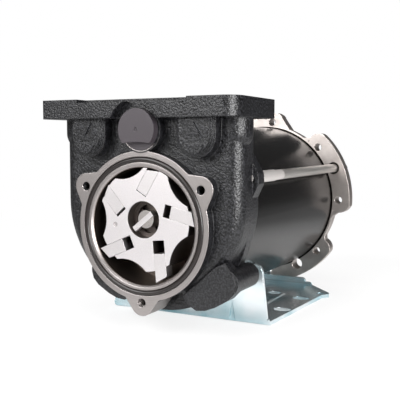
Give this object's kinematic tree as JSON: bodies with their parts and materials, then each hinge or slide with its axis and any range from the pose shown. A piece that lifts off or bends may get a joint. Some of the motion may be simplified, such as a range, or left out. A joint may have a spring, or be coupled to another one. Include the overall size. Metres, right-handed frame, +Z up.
{
  "type": "diesel transfer pump",
  "caption": "Self-priming rotary vane pump with an open pump chamber and two threaded top ports, on a tie-rod DC motor with a bent sheet foot.",
  "frame": {"origin": "middle of the four foot slots, on the floor the foot stands on", "axes": "+X to the right seen from the open chamber, +Y back along the motor, +Z up out of the two ports"},
  "size_m": [0.1336, 0.2028, 0.1312],
  "materials": {
    "casting": "black textured paint",
    "bright_steel": "ground steel",
    "steel": "bare steel",
    "rubber": "smooth rubber",
    "cap": "fine grain",
    "bronze": "machined bronze",
    "copper": "copper",
    "lamination": "stacked sheet steel",
    "barrel_paint": "satin black paint",
    "ferrite": "sintered ferrite",
    "board": "moulded board",
    "carbon": "pressed carbon",
    "aluminium": "die-cast",
    "zinc": "zinc-plated sheet",
    "zinc_screw": "zinc-plated"
  },
  "bodies": {
    "casing": {"pump_body": "casting", "cover_o_ring": "rubber", "bypass_cap": "cap", "bypass_cap_o_ring": "rubber", "bypass_spring": "steel", "shaft_seal": "rubber", "front_bearing_outer": "steel", "motor_barrel": "barrel_paint", "magnets": "ferrite", "brush_plate": "board", "brush_holders": "bronze", "brush_spring_right": "steel", "brush_spring_left": "steel", "end_bell": "aluminium", "rear_bush": "bronze", "end_cover": "aluminium", "cable_grommet": "rubber", "cover_screws": "zinc_screw", "flange_screws": "zinc_screw", "tie_rods": "steel", "tie_rod_nuts": "zinc_screw", "tie_rod_washers": "zinc_screw", "foot_bracket": "zinc"},
    "rotor": {"rotor": "bright_steel", "drive_key": "bright_steel", "armature_shaft": "steel", "armature_core": "lamination", "armature_winding": "copper", "commutator": "copper", "front_bearing_inner": "steel"},
    "vane_crank": {"thrust_ball": "steel"},
    "vane_1": {"vane_1": "bright_steel"},
    "vane_2": {"vane_2": "bright_steel"},
    "vane_3": {"vane_3": "bright_steel"},
    "vane_4": {"vane_4": "bright_steel"},
    "vane_5": {"vane_5": "bright_steel"},
    "bypass_poppet": {"bypass_poppet": "bronze"},
    "brush_right": {"brush_right": "carbon"},
    "brush_left": {"brush_left": "carbon"}
  },
  "joints": [
    {"name": "rotor_spin", "type": "hinge", "parent": "casing", "child": "rotor", "pos_m": [0, -0.0925, 0.0651], "axis": [0, -1, 0], "continuous": true},
    {"name": "crank_turn", "type": "hinge", "parent": "casing", "child": "vane_crank", "pos_m": [-0.00028, 0.0732, 0.0633], "axis": [0, -1, 0], "continuous": true},
    {"name": "vane_1_turn", "type": "hinge", "parent": "vane_crank", "child": "vane_1", "pos_m": [-0.00173, -0.0905, 0.0622], "axis": [0, -1, 0], "continuous": true},
    {"name": "vane_2_turn", "type": "hinge", "parent": "vane_crank", "child": "vane_2", "pos_m": [0.00024, -0.0905, 0.06505], "axis": [0, -1, 0], "continuous": true},
    {"name": "vane_3_turn", "type": "hinge", "parent": "vane_crank", "child": "vane_3", "pos_m": [0.00032, -0.0905, 0.06158], "axis": [0, -1, 0], "continuous": true},
    {"name": "vane_4_turn", "type": "hinge", "parent": "vane_crank", "child": "vane_4", "pos_m": [-0.00178, -0.0905, 0.06434], "axis": [0, -1, 0], "continuous": true},
    {"name": "vane_5_turn", "type": "hinge", "parent": "vane_crank", "child": "vane_5", "pos_m": [0.00154, -0.0905, 0.06334], "axis": [0, -1, 0], "continuous": true},
    {"name": "bypass_slide", "type": "slide", "parent": "casing", "child": "bypass_poppet", "axis": [0, -1, 0], "range_m": [0, 0.004], "stiffness_N_per_m": 900, "springref_m": -0.004, "deforming": ["bypass_spring"]},
    {"name": "brush_right_slide", "type": "slide", "parent": "casing", "child": "brush_right", "axis": [1, 0, 0], "range_m": [0, 0.004], "stiffness_N_per_m": 150, "springref_m": -0.004, "deforming": ["brush_spring_right"]},
    {"name": "brush_left_slide", "type": "slide", "parent": "casing", "child": "brush_left", "axis": [-1, 0, 0], "range_m": [0, 0.004], "stiffness_N_per_m": 150, "springref_m": -0.004, "deforming": ["brush_spring_left"]}
  ],
  "couplings": [
    {"joint": "crank_turn", "follows": "rotor_spin", "ratio": 2},
    {"joint": "vane_1_turn", "follows": "rotor_spin", "ratio": -1},
    {"joint": "vane_2_turn", "follows": "rotor_spin", "ratio": -1},
    {"joint": "vane_3_turn", "follows": "rotor_spin", "ratio": -1},
    {"joint": "vane_4_turn", "follows": "rotor_spin", "ratio": -1},
    {"joint": "vane_5_turn", "follows": "rotor_spin", "ratio": -1}
  ]
}
